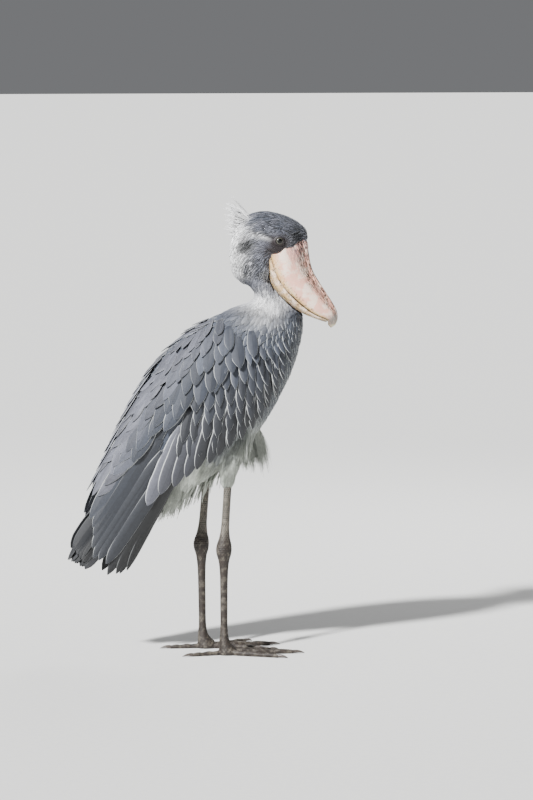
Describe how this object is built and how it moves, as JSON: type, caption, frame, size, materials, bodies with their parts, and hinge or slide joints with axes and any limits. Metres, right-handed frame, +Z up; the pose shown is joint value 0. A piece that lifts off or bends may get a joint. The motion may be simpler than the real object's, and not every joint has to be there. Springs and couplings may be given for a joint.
{
  "type": "shoebill",
  "caption": "Life-size standing shoebill: a grey wading bird at rest with folded wings, a drawn-in neck and a massive hooked bill.",
  "frame": {"origin": "on the floor under the middle of the whole, at the bottom centre of its bounding box", "axes": "+Z up, +X the way the bird's body faces, +Y to the bird's left"},
  "size_m": [0.637, 0.2672, 1.0643],
  "materials": {
    "slate_feather": "soft matt plumage, slate grey with pale fringes",
    "dark_quill": "satin, dark slate flight feathers",
    "pale_plume": "matt, loose pale grey plumes",
    "bill_horn": "satin horn, pinkish cream with grey-brown flecks",
    "leg_scale": "matt scaly skin, dark grey-brown",
    "claw_horn": "satin dark horn",
    "eye": "wet gloss, pale iris with a black pupil"
  },
  "bodies": {
    "root": {"bill_lower": "bill_horn", "bill_upper": "bill_horn", "claw_hind_left": "claw_horn", "claw_hind_right": "claw_horn", "claw_inner_left": "claw_horn", "claw_inner_right": "claw_horn", "claw_middle_left": "claw_horn", "claw_middle_right": "claw_horn", "claw_outer_left": "claw_horn", "claw_outer_right": "claw_horn", "eye_left": "eye", "eye_right": "eye", "head": "slate_feather", "neck": "slate_feather", "shank_left": "leg_scale", "shank_right": "leg_scale", "tail": "dark_quill", "tarsus_left": "leg_scale", "tarsus_right": "leg_scale", "thigh_left": "pale_plume", "thigh_right": "pale_plume", "toe_hind_left": "leg_scale", "toe_hind_right": "leg_scale", "toe_inner_left": "leg_scale", "toe_inner_right": "leg_scale", "toe_middle_left": "leg_scale", "toe_middle_right": "leg_scale", "toe_outer_left": "leg_scale", "toe_outer_right": "leg_scale", "torso": "slate_feather", "wing_left": "slate_feather", "wing_right": "slate_feather"}
  },
  "joints": []
}
